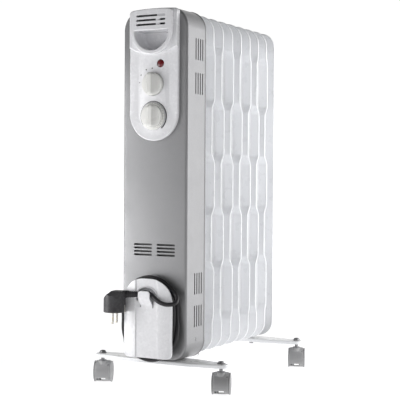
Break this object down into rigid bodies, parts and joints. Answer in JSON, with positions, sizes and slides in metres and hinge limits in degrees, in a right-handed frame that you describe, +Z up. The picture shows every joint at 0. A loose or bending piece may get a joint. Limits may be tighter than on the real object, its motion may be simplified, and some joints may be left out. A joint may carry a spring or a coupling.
{
  "type": "oil filled radiator heater",
  "caption": "Upright oil filled radiator heater: a row of wavy pressed steel fins behind a slim control box with dials, a handle, a front cord winder and swivel casters.",
  "frame": {"origin": "on the floor, in the heater's plane of symmetry, midway between its front and its back without the cord and plug", "axes": "+Z up, the control box faces -Y, +X is the right-hand side seen from the front"},
  "size_m": [0.2722, 0.414, 0.6334],
  "materials": {
    "enamel": "gloss",
    "silver_paint": "satin",
    "zinc_steel": "satin",
    "element_steel": "matte",
    "white_plastic": "gloss",
    "knob_plastic": "satin",
    "red_lens": "polished",
    "inner_plastic": "matte",
    "plug_plastic": "satin",
    "cord_rubber": "satin",
    "plug_brass": "polished",
    "caster_plastic": "satin"
  },
  "bodies": {
    "heater": {"fin_1": "enamel", "fin_2": "enamel", "fin_3": "enamel", "fin_4": "enamel", "fin_5": "enamel", "fin_6": "enamel", "fin_7": "enamel", "fin_8": "enamel", "fin_9": "enamel", "foot_front": "enamel", "foot_rear": "enamel", "control_box_shell": "silver_paint", "control_box_back_plate": "zinc_steel", "oil_filler_plug": "zinc_steel", "u_bolt_front": "zinc_steel", "u_bolt_rear": "zinc_steel", "wing_nut_front_left": "zinc_steel", "wing_nut_front_right": "zinc_steel", "wing_nut_rear_left": "zinc_steel", "wing_nut_rear_right": "zinc_steel", "thermostat": "zinc_steel", "heating_element": "element_steel", "control_fascia": "white_plastic", "handle_cap": "white_plastic", "cord_winder_neck": "white_plastic", "cord_winder_plate": "white_plastic", "pilot_lamp_lens": "red_lens", "pilot_lamp_holder": "inner_plastic", "power_switch": "inner_plastic", "thermal_cutout": "inner_plastic", "tilt_switch": "inner_plastic", "cord_gland": "plug_plastic", "plug_body": "plug_plastic", "power_cord_coil": "cord_rubber", "power_cord_lead": "cord_rubber", "plug_pins": "plug_brass", "caster_front_left_stem": "zinc_steel", "caster_front_right_stem": "zinc_steel", "caster_rear_left_stem": "zinc_steel", "caster_rear_right_stem": "zinc_steel"},
    "power_dial": {"power_knob": "knob_plastic", "power_switch_shaft": "inner_plastic"},
    "thermostat_dial": {"thermostat_knob": "knob_plastic", "thermostat_shaft": "zinc_steel"},
    "caster_front_left_swivel": {"caster_front_left_hood": "caster_plastic", "caster_front_left_axle": "zinc_steel"},
    "caster_front_left_left_wheel": {"caster_front_left_wheel_left": "caster_plastic"},
    "caster_front_left_right_wheel": {"caster_front_left_wheel_right": "caster_plastic"},
    "caster_front_right_swivel": {"caster_front_right_hood": "caster_plastic", "caster_front_right_axle": "zinc_steel"},
    "caster_front_right_left_wheel": {"caster_front_right_wheel_left": "caster_plastic"},
    "caster_front_right_right_wheel": {"caster_front_right_wheel_right": "caster_plastic"},
    "caster_rear_left_swivel": {"caster_rear_left_hood": "caster_plastic", "caster_rear_left_axle": "zinc_steel"},
    "caster_rear_left_left_wheel": {"caster_rear_left_wheel_left": "caster_plastic"},
    "caster_rear_left_right_wheel": {"caster_rear_left_wheel_right": "caster_plastic"},
    "caster_rear_right_swivel": {"caster_rear_right_hood": "caster_plastic", "caster_rear_right_axle": "zinc_steel"},
    "caster_rear_right_left_wheel": {"caster_rear_right_wheel_left": "caster_plastic"},
    "caster_rear_right_right_wheel": {"caster_rear_right_wheel_right": "caster_plastic"}
  },
  "joints": [
    {"name": "power_knob_turn", "type": "hinge", "parent": "heater", "child": "power_dial", "pos_m": [0, -0.16807, 0.50814], "axis": [0, -1, 0], "range_deg": [0, 90]},
    {"name": "thermostat_knob_turn", "type": "hinge", "parent": "heater", "child": "thermostat_dial", "pos_m": [0, -0.16807, 0.45515], "axis": [0, -1, 0], "range_deg": [-135, 90]},
    {"name": "caster_front_left_turn", "type": "hinge", "parent": "heater", "child": "caster_front_left_swivel", "pos_m": [-0.115, -0.14127, 0.03775], "axis": [0, 0, 1], "continuous": true},
    {"name": "caster_front_left_left_roll", "type": "hinge", "parent": "caster_front_left_swivel", "child": "caster_front_left_left_wheel", "pos_m": [-0.12739, -0.13803, 0.01815], "axis": [0.9135, 0.4067, 0], "continuous": true},
    {"name": "caster_front_left_right_roll", "type": "hinge", "parent": "caster_front_left_swivel", "child": "caster_front_left_right_wheel", "pos_m": [-0.10912, -0.12989, 0.01815], "axis": [0.9135, 0.4067, 0], "continuous": true},
    {"name": "caster_front_right_turn", "type": "hinge", "parent": "heater", "child": "caster_front_right_swivel", "pos_m": [0.115, -0.14127, 0.03775], "axis": [0, 0, 1], "continuous": true},
    {"name": "caster_front_right_left_roll", "type": "hinge", "parent": "caster_front_right_swivel", "child": "caster_front_right_left_wheel", "pos_m": [0.10273, -0.13759, 0.01815], "axis": [0.9272, 0.3746, 0], "continuous": true},
    {"name": "caster_front_right_right_roll", "type": "hinge", "parent": "caster_front_right_swivel", "child": "caster_front_right_right_wheel", "pos_m": [0.12127, -0.1301, 0.01815], "axis": [0.9272, 0.3746, 0], "continuous": true},
    {"name": "caster_rear_left_turn", "type": "hinge", "parent": "heater", "child": "caster_rear_left_swivel", "pos_m": [-0.115, 0.16623, 0.03775], "axis": [0, 0, 1], "continuous": true},
    {"name": "caster_rear_left_left_roll", "type": "hinge", "parent": "caster_rear_left_swivel", "child": "caster_rear_left_left_wheel", "pos_m": [-0.12682, 0.17117, 0.01815], "axis": [0.9613, 0.2756, 0], "continuous": true},
    {"name": "caster_rear_left_right_roll", "type": "hinge", "parent": "caster_rear_left_swivel", "child": "caster_rear_left_right_wheel", "pos_m": [-0.10759, 0.17668, 0.01815], "axis": [0.9613, 0.2756, 0], "continuous": true},
    {"name": "caster_rear_right_turn", "type": "hinge", "parent": "heater", "child": "caster_rear_right_swivel", "pos_m": [0.115, 0.16623, 0.03775], "axis": [0, 0, 1], "continuous": true},
    {"name": "caster_rear_right_left_roll", "type": "hinge", "parent": "caster_rear_right_swivel", "child": "caster_rear_right_left_wheel", "pos_m": [0.10287, 0.17033, 0.01815], "axis": [0.9397, 0.342, 0], "continuous": true},
    {"name": "caster_rear_right_right_roll", "type": "hinge", "parent": "caster_rear_right_swivel", "child": "caster_rear_right_right_wheel", "pos_m": [0.12166, 0.17717, 0.01815], "axis": [0.9397, 0.342, 0], "continuous": true}
  ]
}
